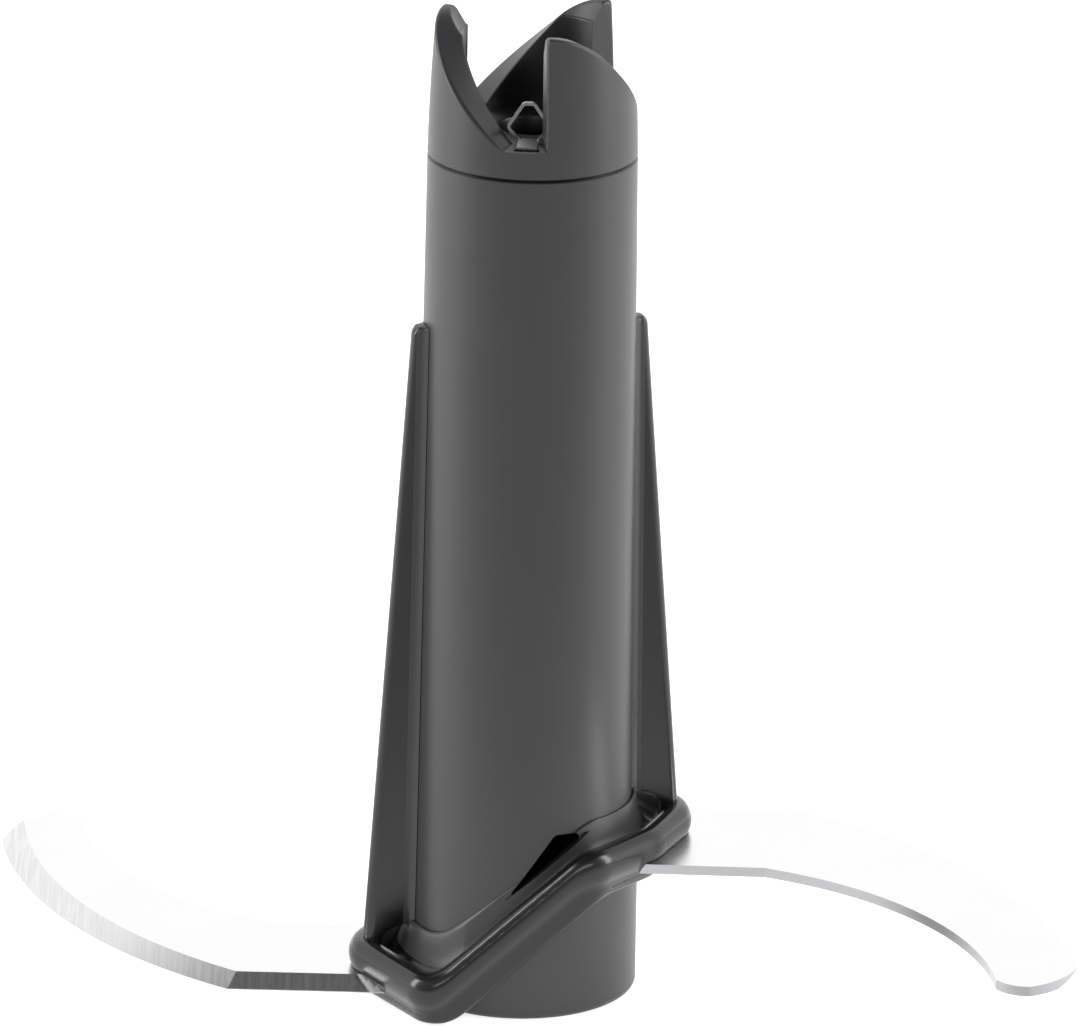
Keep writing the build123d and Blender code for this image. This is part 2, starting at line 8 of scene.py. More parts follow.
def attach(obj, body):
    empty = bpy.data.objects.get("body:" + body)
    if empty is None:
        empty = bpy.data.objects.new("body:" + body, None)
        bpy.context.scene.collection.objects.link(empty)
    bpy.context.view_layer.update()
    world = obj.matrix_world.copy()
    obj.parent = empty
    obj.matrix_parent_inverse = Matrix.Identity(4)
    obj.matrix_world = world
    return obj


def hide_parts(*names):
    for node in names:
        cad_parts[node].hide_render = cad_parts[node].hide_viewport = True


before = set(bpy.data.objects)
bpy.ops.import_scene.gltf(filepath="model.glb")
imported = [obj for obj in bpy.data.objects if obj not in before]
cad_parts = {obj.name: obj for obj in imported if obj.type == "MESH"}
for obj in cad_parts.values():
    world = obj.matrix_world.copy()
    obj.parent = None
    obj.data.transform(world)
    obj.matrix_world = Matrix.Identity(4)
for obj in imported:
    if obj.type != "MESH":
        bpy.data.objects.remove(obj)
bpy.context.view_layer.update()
MM = 0.001                      # the sizes below are millimetres, the scene is in metres


# ======================================================================================
# Hub tube: a long tapered sleeve with a thin wall, injection moulded in charcoal
# polypropylene from a spark-eroded tool, which leaves a very fine satin grain.
# ======================================================================================
class Wire:
    """A value on its way through a finish: arithmetic on it adds the maths nodes."""

    def __init__(self, tree, socket=None):
        self.tree = tree
        self.socket = socket

    def node(self, kind, settings, sockets, out=0):
        """Adds a node: its settings first, then the values or links of its sockets."""
        made = self.tree.nodes.new("ShaderNode" + kind)
        for key, value in settings.items():
            if key == "stops":
                while len(made.color_ramp.elements) < len(value):
                    made.color_ramp.elements.new(0.5)
                for stop, (place, shade) in zip(made.color_ramp.elements, value):
                    stop.position = place
                    stop.color = (shade, shade, shade, 1.0)
            else:
                setattr(made, key, value)
        for key, value in sockets.items():
            if isinstance(value, Wire):
                self.tree.links.new(value.socket, made.inputs[key])
            else:
                made.inputs[key].default_value = value
        return Wire(self.tree, made.outputs[out])

    def maths(self, operation, first, second=0.0):
        return self.node("Math", {"operation": operation}, {0: first, 1: second})

    def __add__(self, other):
        return self.maths("ADD", self, other)

    def __radd__(self, other):
        return self.maths("ADD", other, self)

    def __sub__(self, other):
        return self.maths("SUBTRACT", self, other)

    def __rsub__(self, other):
        return self.maths("SUBTRACT", other, self)

    def __mul__(self, other):
        return self.maths("MULTIPLY", self, other)

    def __rmul__(self, other):
        return self.maths("MULTIPLY", other, self)


GRAIN_SIZE = 0.25               # of the spark-eroded tools, millimetres
CLOUD_SCALE = 70.0              # slow unevenness of a moulding, waves per metre
CLOUD_SHADE = 0.86              # its darker places
INSIDE_PAINTED_SHADE = (0.0015, 0.0015, 0.0016)    # painted shade: a near-black colour standing in for the shade inside the tube, the bore and the joint line


def new_finish(name, **fixed):
    """A material with one Principled shader; fixed values go on its own sockets."""
    finish = bpy.data.materials.new(name)
    finish.use_nodes = True
    shader = finish.node_tree.nodes["Principled BSDF"]
    for socket, value in fixed.items():
        shader.inputs[socket.replace("_", " ")].default_value = value
    start = Wire(finish.node_tree)
    place = start.node("TexCoord", {}, {}, "Object")
    return finish, shader, start, place


def moulded(name, colour, rough, grain, shade_and_tone_zone=None, shade_and_tone_colour=INSIDE_PAINTED_SHADE, duller=0.0):
    """Moulded plastic: fine tool grain, slow waviness and a faint change of shade.

    Where the zone function, fed the object coordinates, gives 1, the surface takes the zone's
    colour there and is duller. On the hub this is painted shade: a near-black colour stands in for
    the shade inside the tube, the crown's bore and the joint line. On the carrier it is the
    sleeve's own satin grey."""
    finish, shader, start, place = new_finish(name)
    cloud = start.node("TexNoise", {}, {"Vector": place, "Scale": CLOUD_SCALE, "Detail": 3.0})
    fine = start.node("TexNoise", {}, {
        "Vector": place, "Scale": 1.0 / (GRAIN_SIZE * MM), "Detail": 2.0, "Roughness": 0.6})
    darker = [c * CLOUD_SHADE for c in colour]
    tint = start.node("Mix", {"data_type": "RGBA"}, {
        0: cloud, 6: (*darker, 1.0), 7: (*colour, 1.0)}, 2)
    rub = (cloud - 0.5) * 0.12 + (fine - 0.5) * 0.1 + rough
    if shade_and_tone_zone:
        # the zone's colour replaces the tint: painted shade on the hub, the sleeve's own grey on
        # the carrier
        zone = shade_and_tone_zone(start, place)
        tint = start.node("Mix", {"data_type": "RGBA"}, {
            0: zone, 6: tint, 7: (*shade_and_tone_colour, 1.0)}, 2)
        rub = rub + zone * duller
    bump = start.node("Bump", {}, {"Height": fine, "Strength": grain, "Distance": 0.02 * MM})
    for wire, socket in ((tint, "Base Color"), (rub, "Roughness"), (bump, "Normal")):
        finish.node_tree.links.new(wire.socket, shader.inputs[socket])
    return finish


def dress_node(node, finish):
    """Gives a carried-over piece its finish."""
    node.data.materials.clear()
    node.data.materials.append(finish)


# Size of the tube, in millimetres, which the crown and the carrier take up again.
HUB_HEIGHT = 117.5
HUB_TOP_R = 14.0
HUB_FOOT_R = 15.25
TAPER_SLOPE = 0.0107            # the tube's radius falls by this much for each unit of height
# Limits of the painted shade: inside the tube, inside the crown's bore and along the joint line.
TUBE_INNER_R = 13.9             # nothing outside this is an inside surface, at the rim
TUBE_INNER_TOP = 117.0
BORE_LIMIT_R = 9.7              # just outside the crown's bore
JOINT_HALF = 0.2                # half the width of the painted shade along the open joint under the crown


def hub_r(z):
    """Outer radius of the tapered tube at height z."""
    return HUB_FOOT_R + (HUB_TOP_R - HUB_FOOT_R) * z / HUB_HEIGHT


def height_and_radius(start, place):
    """Height above the rim and distance from the axis, as wires."""
    flat = start.node("VectorMath", {"operation": "MULTIPLY"}, {0: place, 1: (1.0, 1.0, 0.0)})
    radius = start.node("VectorMath", {"operation": "LENGTH"}, {0: flat}, "Value")
    return start.node("SeparateXYZ", {}, {0: place}, "Z"), radius


def hub_painted_shade(start, place):
    """1 where shade is painted: on the surfaces inside the tube and the crown's bore and in the
    joint line, else 0.
    """
    height, radius = height_and_radius(start, place)
    in_tube = start.maths("LESS_THAN", radius + height * TAPER_SLOPE, TUBE_INNER_R * MM)
    below = start.maths("LESS_THAN", height, TUBE_INNER_TOP * MM)
    in_bore = start.maths("LESS_THAN", radius, BORE_LIMIT_R * MM)
    from_joint = start.maths("ABSOLUTE", height - HUB_HEIGHT * MM)
    joint = start.maths("LESS_THAN", from_joint, JOINT_HALF * MM)
    return start.maths("MAXIMUM", start.maths("MAXIMUM", in_tube * below, in_bore), joint)


# Painted shade: this finish, also used by the crown, is near-black inside the tube, the crown's
# bore and the joint line.
hub_finish = moulded("charcoal_satin", (0.037, 0.038, 0.040), 0.38, 0.35, hub_painted_shade)
dress_node(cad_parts["hub_tube"], hub_finish)


# ======================================================================================
# Post bearings: two turned acetal bushes and a domed nylon thrust pad, pressed into the
# hub's inner tube from below. The bowl's steel post runs in them.
# ======================================================================================
bush_finish = moulded("natural_acetal", (0.64, 0.62, 0.56), 0.38, 0.2)
pad_finish = moulded("filled_nylon", (0.035, 0.035, 0.037), 0.45, 0.3)
for name in ("lower_bush", "upper_bush"):
    dress_node(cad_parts[name], bush_finish)
dress_node(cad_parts["thrust_pad"], pad_finish)


# ======================================================================================
# Drive crown: the ring of three claws that the lid's drive drops into. Moulded in the
# same charcoal plastic as the hub, plugged into its top and welded round the joint line.
# Each claw has one upright driving face, a rounded crest and a long ramp behind it.
# ======================================================================================
CLAW_COUNT = 3
CLAW_START = 7.5                # degrees from -Y to the first upright face
CROWN_TOP = 136.6
NOTCH_Z = 121.4
CREST_ARC = 35.0                # degrees of rounded crest behind the upright face
CREST_RATE = 0.0024
RAMP_RATE = 0.2                 # fall of the ramp, millimetres per degree
CROWN_BORE_R = 9.6
PILOT_R = 4.6
FLOOR_UNDER = 119.0
SPIGOT_R = 11.35
SPIGOT_BORE_R = 9.35
SPIGOT_FOOT = 102.0
JOINT_CHAMFER = 0.3
LEAD_Z = 133.7                  # the sloping mouth meets the bore at this height
LEAD_SLOPE = 2.6 / 1.8
CLAW_ROUND = 0.55               # rounding of the claws' outer edges
BORE_ROUND = 0.3
FACE_ROUND = 0.6                # rounding of the upright edges
MOUTH_ROUND = 0.4               # rounding of the pilot hole's mouth
FOOT_CHAMFER = 0.4
SIDE_ARC = ((117.5, 14.0), (125.522, 13.75), (140.6, 12.75))
SIDE_START_Z = 118.4            # first point of the side above the chamfer
EDGE_SHARE = 0.45               # on a low wall the roundings shrink to this share of it
RAMP_FOOT = 3.0                 # degrees over which a ramp runs out on the notch floor
PEG_SLOT = (-1.65, 1.65, -13.1, -12.1)  # x and y limits before it is turned
PEG_SLOT_DEEP = 2.8
PEG_SLOT_OVER = 0.6             # its cut reaches this far above the notch floor
SPRING_SKEW = -3.5              # degrees from -Y, where the spring stands


def claw_height(turn):
    """Height of a claw, turn degrees behind its upright face."""
    crest = CROWN_TOP - CREST_RATE * min(turn, CREST_ARC) ** 2
    return max(crest - RAMP_RATE * max(turn - CREST_ARC, 0.0), NOTCH_Z)


def side_r(z):
    """Outer radius of the crown: a curve that leans in towards the claw tops."""
    (z0, r0), (z1, r1), (z2, r2) = SIDE_ARC
    near = (z - z1) * (z - z2) / ((z0 - z1) * (z0 - z2))
    mid = (z - z0) * (z - z2) / ((z1 - z0) * (z1 - z2))
    far = (z - z0) * (z - z1) / ((z2 - z0) * (z2 - z1))
    return r0 * near + r1 * mid + r2 * far


def claw_section(top, inset):
    """Closed outline (radius, height) of the crown where its top is at this height."""
    tall = top - NOTCH_Z
    edge = min(CLAW_ROUND, tall * EDGE_SHARE)
    lip = min(BORE_ROUND, tall * EDGE_SHARE)
    ease = min(1.0, tall / 2.0) * inset
    points = [(SPIGOT_R, HUB_HEIGHT), (HUB_TOP_R - JOINT_CHAMFER, HUB_HEIGHT),
              (side_r(HUB_HEIGHT + JOINT_CHAMFER), HUB_HEIGHT + JOINT_CHAMFER)]
    points += [(side_r(z), z) for z in np.linspace(SIDE_START_Z, NOTCH_Z - 0.05, 5)]
    for share in np.linspace(0.02, 1.0, 14):
        z = NOTCH_Z + (tall - edge) * share
        points.append((side_r(z) - ease * min(1.0, share * tall / 0.6), z))
    rim = side_r(top - edge) - ease
    for step in range(1, 6):
        lean = math.radians(90 * step / 5)
        points.append((rim - edge * (1 - math.cos(lean)), top - edge + edge * math.sin(lean)))
    for share in np.linspace(0.06, 1.0, 12):
        r = rim - edge + (CROWN_BORE_R + lip - rim + edge) * share
        points.append((r, min(top, LEAD_Z + LEAD_SLOPE * (r - CROWN_BORE_R))))
    bore_top = points[-1][1]
    for step in range(1, 5):
        lean = math.radians(90 * step / 4)
        r = CROWN_BORE_R + lip * (1 - math.sin(lean))
        points.append((r, bore_top - lip * (1 - math.cos(lean))))
    points += [(CROWN_BORE_R, NOTCH_Z + (bore_top - lip - NOTCH_Z) * share)
               for share in (0.75, 0.5, 0.25, 0.0)]
    points += [(PILOT_R + MOUTH_ROUND, NOTCH_Z)]
    points += [(PILOT_R + MOUTH_ROUND * 0.3, NOTCH_Z - MOUTH_ROUND * 0.3)]
    points += [(PILOT_R, NOTCH_Z - MOUTH_ROUND)]
    points += [(PILOT_R, FLOOR_UNDER), (SPIGOT_BORE_R, FLOOR_UNDER)]
    points += [(SPIGOT_BORE_R, SPIGOT_FOOT), (SPIGOT_R - FOOT_CHAMFER, SPIGOT_FOOT)]
    points += [(SPIGOT_R, SPIGOT_FOOT + FOOT_CHAMFER)]
    return points


def claw_stations():
    """Turns round one claw, each with its height and how far its outer edge is eased in."""
    stations = [(0.0, NOTCH_Z, FACE_ROUND), (0.0, NOTCH_Z + 0.8, FACE_ROUND)]
    peak = CROWN_TOP - FACE_ROUND
    stations += [(0.0, z, FACE_ROUND) for z in np.linspace(NOTCH_Z + 2.0, peak, 5)]
    millimetre = math.degrees(1.0 / side_r(CROWN_TOP))
    for step in range(1, 8):
        lean = math.radians(90 * step / 7)
        turn = FACE_ROUND * (1 - math.cos(lean)) * millimetre
        ease = FACE_ROUND * (1 - math.sin(lean))
        stations.append((turn, peak + FACE_ROUND * math.sin(lean) - CREST_RATE * turn ** 2, ease))
    ramp_end = CREST_ARC + (CROWN_TOP - CREST_RATE * CREST_ARC ** 2 - NOTCH_Z) / RAMP_RATE
    start = stations[-1][0]
    along_top = np.linspace(start + 0.8, ramp_end - 2.0, 70)
    stations += [(turn, claw_height(turn), 0.0) for turn in along_top]
    for step in range(0, 7):
        turn = ramp_end - 1.5 + step * 0.5
        drop = claw_height(turn)
        blend = RAMP_RATE * (RAMP_FOOT - step * 0.5) ** 2 / (4 * RAMP_FOOT)
        stations.append((turn, max(drop, NOTCH_Z + blend), 0.0))
    along_floor = np.linspace(ramp_end + RAMP_FOOT, 360 / CLAW_COUNT, 12)
    return stations + [(turn, NOTCH_Z, 0.0) for turn in along_floor]


def skin(name, rows, wrap_rows=False, cap=False):
    """A mesh over rows of points given in millimetres; each row is a closed loop."""
    rows = np.array(rows, float)
    count, across = rows.shape[:2]
    faces = []
    for i in range(count if wrap_rows else count - 1):
        for j in range(across):
            near, far = i * across, (i + 1) % count * across
            faces.append((near + j, near + (j + 1) % across, far + (j + 1) % across, far + j))
    if cap:
        faces.append(tuple(range(across)))
        faces.append(tuple((count - 1) * across + j for j in reversed(range(across))))
    mesh = bpy.data.meshes.new(name)
    mesh.from_pydata((rows.reshape(-1, 3) * MM).tolist(), [], faces)
    piece = bpy.data.objects.new(name, mesh)
    bpy.context.scene.collection.objects.link(piece)
    return piece


def tidy_mesh(piece, sharp_degrees=35, merge=0.002):
    """Merges doubles, turns every face outwards and keeps only real edges sharp."""
    work = bmesh.new()
    work.from_mesh(piece.data)
    bmesh.ops.remove_doubles(work, verts=work.verts, dist=merge * MM)
    bmesh.ops.dissolve_degenerate(work, edges=work.edges, dist=merge * 0.5 * MM)
    bmesh.ops.recalc_face_normals(work, faces=work.faces)
    work.to_mesh(piece.data)
    work.free()
    piece.data.shade_smooth()
    piece.data.set_sharp_from_angle(angle=math.radians(sharp_degrees))
    return piece


def settle(piece):
    """Turns a piece with its modifiers into a plain mesh."""
    state = bpy.context.evaluated_depsgraph_get()
    made = bpy.data.meshes.new_from_object(
        piece.evaluated_get(state), preserve_all_data_layers=True, depsgraph=state)
    piece.modifiers.clear()
    piece.data = made
    return piece


def round_copies():
    """Geometry Nodes tree: copies a shape evenly round the turning axis."""
    tree = bpy.data.node_groups.new("round_copies", "GeometryNodeTree")
    for label, kind in (("Shape", "NodeSocketGeometry"), ("Copies", "NodeSocketInt"),
                        ("First Turn", "NodeSocketFloat"), ("Weld", "NodeSocketFloat"),
                        ("Finish", "NodeSocketMaterial")):
        tree.interface.new_socket(label, in_out="INPUT", socket_type=kind)
    tree.interface.new_socket("Shape", in_out="OUTPUT", socket_type="NodeSocketGeometry")
    made = {}
    for key, kind in (("inputs", "NodeGroupInput"), ("spots", "GeometryNodeMeshLine"),
                      ("index", "GeometryNodeInputIndex"), ("step", "ShaderNodeMath"),
                      ("spin", "ShaderNodeMath"), ("first", "ShaderNodeMath"),
                      ("axis", "ShaderNodeCombineXYZ"), ("turn", "FunctionNodeEulerToRotation"),
                      ("copies", "GeometryNodeInstanceOnPoints"),
                      ("real", "GeometryNodeRealizeInstances"),
                      ("weld", "GeometryNodeMergeByDistance"),
                      ("finish", "GeometryNodeSetMaterial"), ("output", "NodeGroupOutput")):
        made[key] = tree.nodes.new(kind)
    made["spots"].mode = "OFFSET"
    made["spots"].inputs["Offset"].default_value = (0, 0, 0)
    made["step"].operation = "DIVIDE"
    made["step"].inputs[0].default_value = 2 * math.pi
    made["spin"].operation = "MULTIPLY"
    for source, output, target, entry in (
            ("inputs", "Copies", "spots", "Count"), ("inputs", "Copies", "step", 1),
            ("index", 0, "spin", 0), ("step", 0, "spin", 1), ("spin", 0, "first", 0),
            ("inputs", "First Turn", "first", 1), ("first", 0, "axis", "Z"),
            ("axis", 0, "turn", 0), ("turn", 0, "copies", "Rotation"),
            ("spots", 0, "copies", "Points"), ("inputs", "Shape", "copies", "Instance"),
            ("copies", 0, "real", 0), ("real", 0, "weld", "Geometry"),
            ("inputs", "Weld", "weld", "Distance"), ("weld", 0, "finish", "Geometry"),
            ("inputs", "Finish", "finish", "Material"), ("finish", 0, "output", 0)):
        tree.links.new(made[source].outputs[output], made[target].inputs[entry])
    return tree


def put_round(piece, tree, **values):
    """Runs the tree on a piece and keeps the result as its mesh."""
    turns = piece.modifiers.new("copies", "NODES")
    turns.node_group = tree
    for item in tree.interface.items_tree:
        if item.in_out == "INPUT" and item.name.replace(" ", "_") in values:
            turns[item.identifier] = values[item.name.replace(" ", "_")]
    return settle(piece)


def carve(piece, tool, operation="DIFFERENCE"):
    """Cuts a tool's shape from a piece, or joins it on, and throws the tool away."""
    cut = piece.modifiers.new("cut", "BOOLEAN")
    cut.object = tool
    cut.operation = operation
    cut.solver = "EXACT"
    settle(piece)
    bpy.data.objects.remove(tool)
    return piece


def fit_piece(piece, finish, slot, body, *nodes):
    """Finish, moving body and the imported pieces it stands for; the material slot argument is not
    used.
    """
    piece.data.materials.clear()
    piece.data.materials.append(finish)
    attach(piece, body)
    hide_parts(*nodes)
    return piece


claw_rows = []
for turn, top, ease in claw_stations():
    angle = math.radians(turn)
    claw_rows.append([
        (r * math.cos(angle), r * math.sin(angle), z) for r, z in claw_section(top, ease)])
drive_crown = skin("drive_crown_shell", claw_rows)
copies_tree = round_copies()
put_round(drive_crown, copies_tree, Copies=CLAW_COUNT, First_Turn=math.radians(CLAW_START - 90),
          Weld=0.002 * MM, Finish=hub_finish)
left_x, right_x, front_y, back_y = PEG_SLOT
peg_slot = skin("peg_slot", [
    [(left_x, front_y, z), (right_x, front_y, z), (right_x, back_y, z), (left_x, back_y, z)]
    for z in (NOTCH_Z - PEG_SLOT_DEEP, NOTCH_Z + PEG_SLOT_OVER)], cap=True)
peg_slot.data.transform(Matrix.Rotation(math.radians(SPRING_SKEW), 4, "Z"))
carve(drive_crown, tidy_mesh(peg_slot))
tidy_mesh(drive_crown, sharp_degrees=40)
fit_piece(drive_crown, hub_finish, "crown_plastic", "blade_unit", "drive_crown")


# ======================================================================================
# Retaining spring: a bent strip of bright spring steel that stands in the front notch,
# its lug hooked into a slot in the notch floor. It rocks to let the drive snap in.
# ======================================================================================
STEEL_CLOUD = 60.0              # slow unevenness of rolled strip, waves per metre


def steel(name, shade, rough):
    """Rolled steel strip: a faint cloudiness in its shade and its polish."""
    finish, shader, start, place = new_finish(name, Metallic=1.0)
    cloud = start.node("TexNoise", {}, {"Vector": place, "Scale": STEEL_CLOUD, "Detail": 4.0})
    tint = start.node("Mix", {"data_type": "RGBA"}, {
        0: cloud, 6: (shade * 0.93, shade * 0.93, shade * 0.94, 1.0),
        7: (shade, shade, shade, 1.0)}, 2)
    rub = (cloud - 0.5) * 0.15 + rough
    for wire, socket in ((tint, "Base Color"), (rub, "Roughness")):
        finish.node_tree.links.new(wire.socket, shader.inputs[socket])
    return finish


spring_finish = steel("spring_steel", 0.2, 0.25)
dress_node(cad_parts["retaining_spring"], spring_finish)


# ======================================================================================
# Crescent blades: stamped from stainless strip, ground to a bevel along the outer sweep
# and moulded into the carrier, one low towards -X and one high towards +X.
# ======================================================================================
FLAT_FACING = 0.985             # upward share of a normal, above which a face is flat
EDGE_FACING = 0.5               # and below which it is a sheared edge
SCRATCHES = (2600.0, 110.0, 110.0)      # per metre, across and along them
SCRATCH_TURN = 35               # degrees
SHEARED_SHADE = (0.42, 0.42, 0.43, 1.0)


def ground_steel(name, shade, rough):
    """Satin strip with scratches of the grinding wheel on its bevels and dull sheared edges."""
    finish, shader, start, place = new_finish(name, Metallic=1.0)
    cloud = start.node("TexNoise", {}, {"Vector": place, "Scale": STEEL_CLOUD, "Detail": 4.0})
    facing = start.node("NewGeometry", {}, {}, "Normal")
    upright = start.maths("ABSOLUTE", start.node("SeparateXYZ", {}, {0: facing}, "Z"))
    sloping = start.maths("LESS_THAN", upright, FLAT_FACING)
    slope = sloping * start.maths("GREATER_THAN", upright, EDGE_FACING)
    sheared = start.maths("LESS_THAN", upright, EDGE_FACING)
    laid = start.node("Mapping", {}, {
        "Vector": place, "Rotation": (0.0, 0.0, math.radians(SCRATCH_TURN)), "Scale": SCRATCHES})
    scratch = start.node("TexNoise", {}, {"Vector": laid, "Scale": 1.0, "Detail": 3.0})
    tint = start.node("Mix", {"data_type": "RGBA"}, {
        0: cloud, 6: (shade * 0.95, shade * 0.95, shade * 0.96, 1.0),
        7: (shade, shade, shade, 1.0)}, 2)
    ground = start.node("Mix", {"data_type": "RGBA"}, {
        0: scratch, 6: (0.5, 0.5, 0.51, 1.0), 7: (0.82, 0.82, 0.83, 1.0)}, 2)
    tint = start.node("Mix", {"data_type": "RGBA"}, {0: slope, 6: tint, 7: ground}, 2)
    tint = start.node("Mix", {"data_type": "RGBA"}, {0: sheared, 6: tint, 7: SHEARED_SHADE}, 2)
    rub = (cloud - 0.5) * 0.12 + rough + slope * ((scratch - 0.5) * 0.2 - 0.1)
    bump = start.node("Bump", {}, {
        "Height": scratch * slope, "Strength": 0.35, "Distance": 0.01 * MM})
    for wire, socket in ((tint, "Base Color"), (rub, "Roughness"), (bump, "Normal")):
        finish.node_tree.links.new(wire.socket, shader.inputs[socket])
    return finish


blade_finish = ground_steel("blade_steel", 0.8, 0.28)
for name in ("lower_blade", "upper_blade"):
    dress_node(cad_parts[name], blade_finish)


# ======================================================================================
# Blade carrier: one glossy black moulding pressed over the hub's foot. A fat rolled bead
# runs round it and climbs from the low blade to the high one; a sleeve hugs the tube, and
# two tall fins brace it. The blades are moulded into its ends.
# ======================================================================================
CARRIER_LOW = 0.4               # underside of its low side above the rim
CARRIER_STEP = 17.25            # from the low blade to the high one
CARRIER_TALL = 7.0
RAMP_LOW_X = -11.0              # the bead climbs between these two
RAMP_HIGH_X = 8.6
UNDER_SHIFT = 2.2               # the underside climbs this much further along +X
BORE_GAP = 0.05                 # between the sleeve and the tube
RAMP_SOFT = 1.6                 # the bead's bends are eased over this length
CORNER_TURNS = (-123.15, -58.2, -22.0, 10.7)    # degrees from +X, half of the corners
CORNER_REACHES = (8.15, 4.3, 4.1, 7.95)         # beyond the tube's foot
CORNER_RADII = (3.4, 5.0, 9.0, 6.0)
CARRIER_STATIONS = 360
FIN_TURN = 13.0                 # degrees from +X towards +Y, and its opposite
FIN_HALF = 1.3                  # half its thickness
FIN_TOP_Z = 94.3
FIN_TOP_REACH = 1.85            # beyond the tube at its top
FIN_FOOT_R = 22.0
ARCH_R = 2.1                    # opening under the fin, beside the tube
FIN_TOP_ROUND = 1.2             # the fin's top rounds off over this height
FIN_TOP_SHRINK = (0.9, 0.45)    # and draws in by this much in depth and half thickness
FIN_FLARE = 0.7                 # the fin widens by this much where it meets the tube
FIN_SUNK = 3.2                  # its foot stands this deep in the bead
TROUGH_DEEP = 2.6
TROUGH_ROOM = 4.6               # the trough's shape is drawn for this width
POCKET_START = 12.5             # the pockets deepen from here along X
POCKET_DEEP = 0.7
WINDOW = ((-2.0, 17.0), (9.3, 26.2), (4.6, 26.2))
WINDOW_DEPTHS = (8.5, 24.5)     # its cut, measured from the axis
SLEEVE_LIMIT_R = 16.7           # nothing outside this is on the sleeve, at the rim


def climb(x):
    """How far up its climb the carrier is at x, from 0 to 1, with eased ends."""
    shares = [(x + shift - RAMP_LOW_X) / (RAMP_HIGH_X - RAMP_LOW_X)
              for shift in np.linspace(-RAMP_SOFT, RAMP_SOFT, 7)]
    return float(np.mean(np.clip(shares, 0.0, 1.0)))


def rim_z(x):
    """Height of the bead's upper line at x."""
    return CARRIER_LOW + CARRIER_TALL + CARRIER_STEP * climb(x)


def under_z(x):
    """Height of the carrier's underside at x."""
    return CARRIER_LOW + CARRIER_STEP * climb(x - UNDER_SHIFT)


def plan_line():
    """Rounded outline of the band seen from above: points and outward directions."""
    corners = []
    for turn, reach in zip(CORNER_TURNS, CORNER_REACHES):
        corners.append(np.array([math.cos(math.radians(turn)), math.sin(math.radians(turn))])
                       * (HUB_FOOT_R + reach))
    corners += [-corner for corner in corners]
    points, outward = [], []
    for i, corner in enumerate(corners):
        before = corners[i - 1] - corner
        after = corners[(i + 1) % len(corners)] - corner
        before /= np.linalg.norm(before)
        after /= np.linalg.norm(after)
        half = math.acos(float(np.clip(before @ after, -1, 1))) / 2
        radius = CORNER_RADII[i % 4]
        middle = before + after
        middle /= np.linalg.norm(middle)
        centre = corner + middle * radius / math.sin(half)
        away = corner + before * radius / math.tan(half) - centre
        last = corner + after * radius / math.tan(half) - centre
        first = math.atan2(away[1], away[0])
        sweep = (math.atan2(last[1], last[0]) - first + math.pi) % (2 * math.pi) - math.pi
        for share in np.linspace(0, 1, 24):
            angle = first + sweep * share
            out = np.array([math.cos(angle), math.sin(angle)])
            points.append(centre + radius * out)
            outward.append(out)
    return np.array(points), np.array(outward)


plan_points, plan_out = plan_line()


def plan_r(grow, turns):
    """Distance from the axis to the outline, grown outwards, along each direction."""
    moved = plan_points + plan_out * grow
    dense = np.concatenate([
        moved[i] + (moved[(i + 1) % len(moved)] - moved[i]) * np.linspace(0, 1, 12)[:-1, None]
        for i in range(len(moved))])
    angle = np.arctan2(dense[:, 1], dense[:, 0])
    order = np.argsort(angle)
    return np.interp(turns, angle[order], np.hypot(*dense[order].T), period=2 * math.pi)


carrier_turns = np.linspace(-math.pi, math.pi, CARRIER_STATIONS, endpoint=False)
# Points of the carrier's section, outwards and up from the line that each belongs to.
SLEEVE_SIDE = ((0.0, 2.6), (0.05, 2.75), (0.18, 2.8), (0.4, 2.68), (0.55, 2.2), (0.66, 1.5),
               (0.8, 0.6), (0.98, -0.3), (1.22, -1.1), (1.55, -1.8), (2.0, -2.35), (2.5, -2.6))
RIM_SIDE = ((2.0, -2.55), (1.55, -2.2), (1.25, -1.6), (1.0, -1.0), (0.7, -0.5), (0.35, -0.15))
ROLL = ((-1.1, -0.03), (-0.5, 0.0), (0.1, -0.12), (0.6, -0.5), (0.95, -1.1), (1.15, -1.8),
        (1.2, -2.5), (1.12, -3.2), (0.9, -3.85), (0.6, -4.4), (0.32, -4.85), (0.12, -5.3),
        (0.02, -5.8))
BAND_FOOT = ((0.0, 1.2), (-0.06, 0.6), (-0.25, 0.2), (-0.6, 0.03), (-1.2, 0.0))
crest_r = plan_r(-1.5, carrier_turns)
roll_r = [plan_r(out, carrier_turns) for out, _ in ROLL]
foot_r = [plan_r(out, carrier_turns) for out, _ in BAND_FOOT]
carrier_rows = []
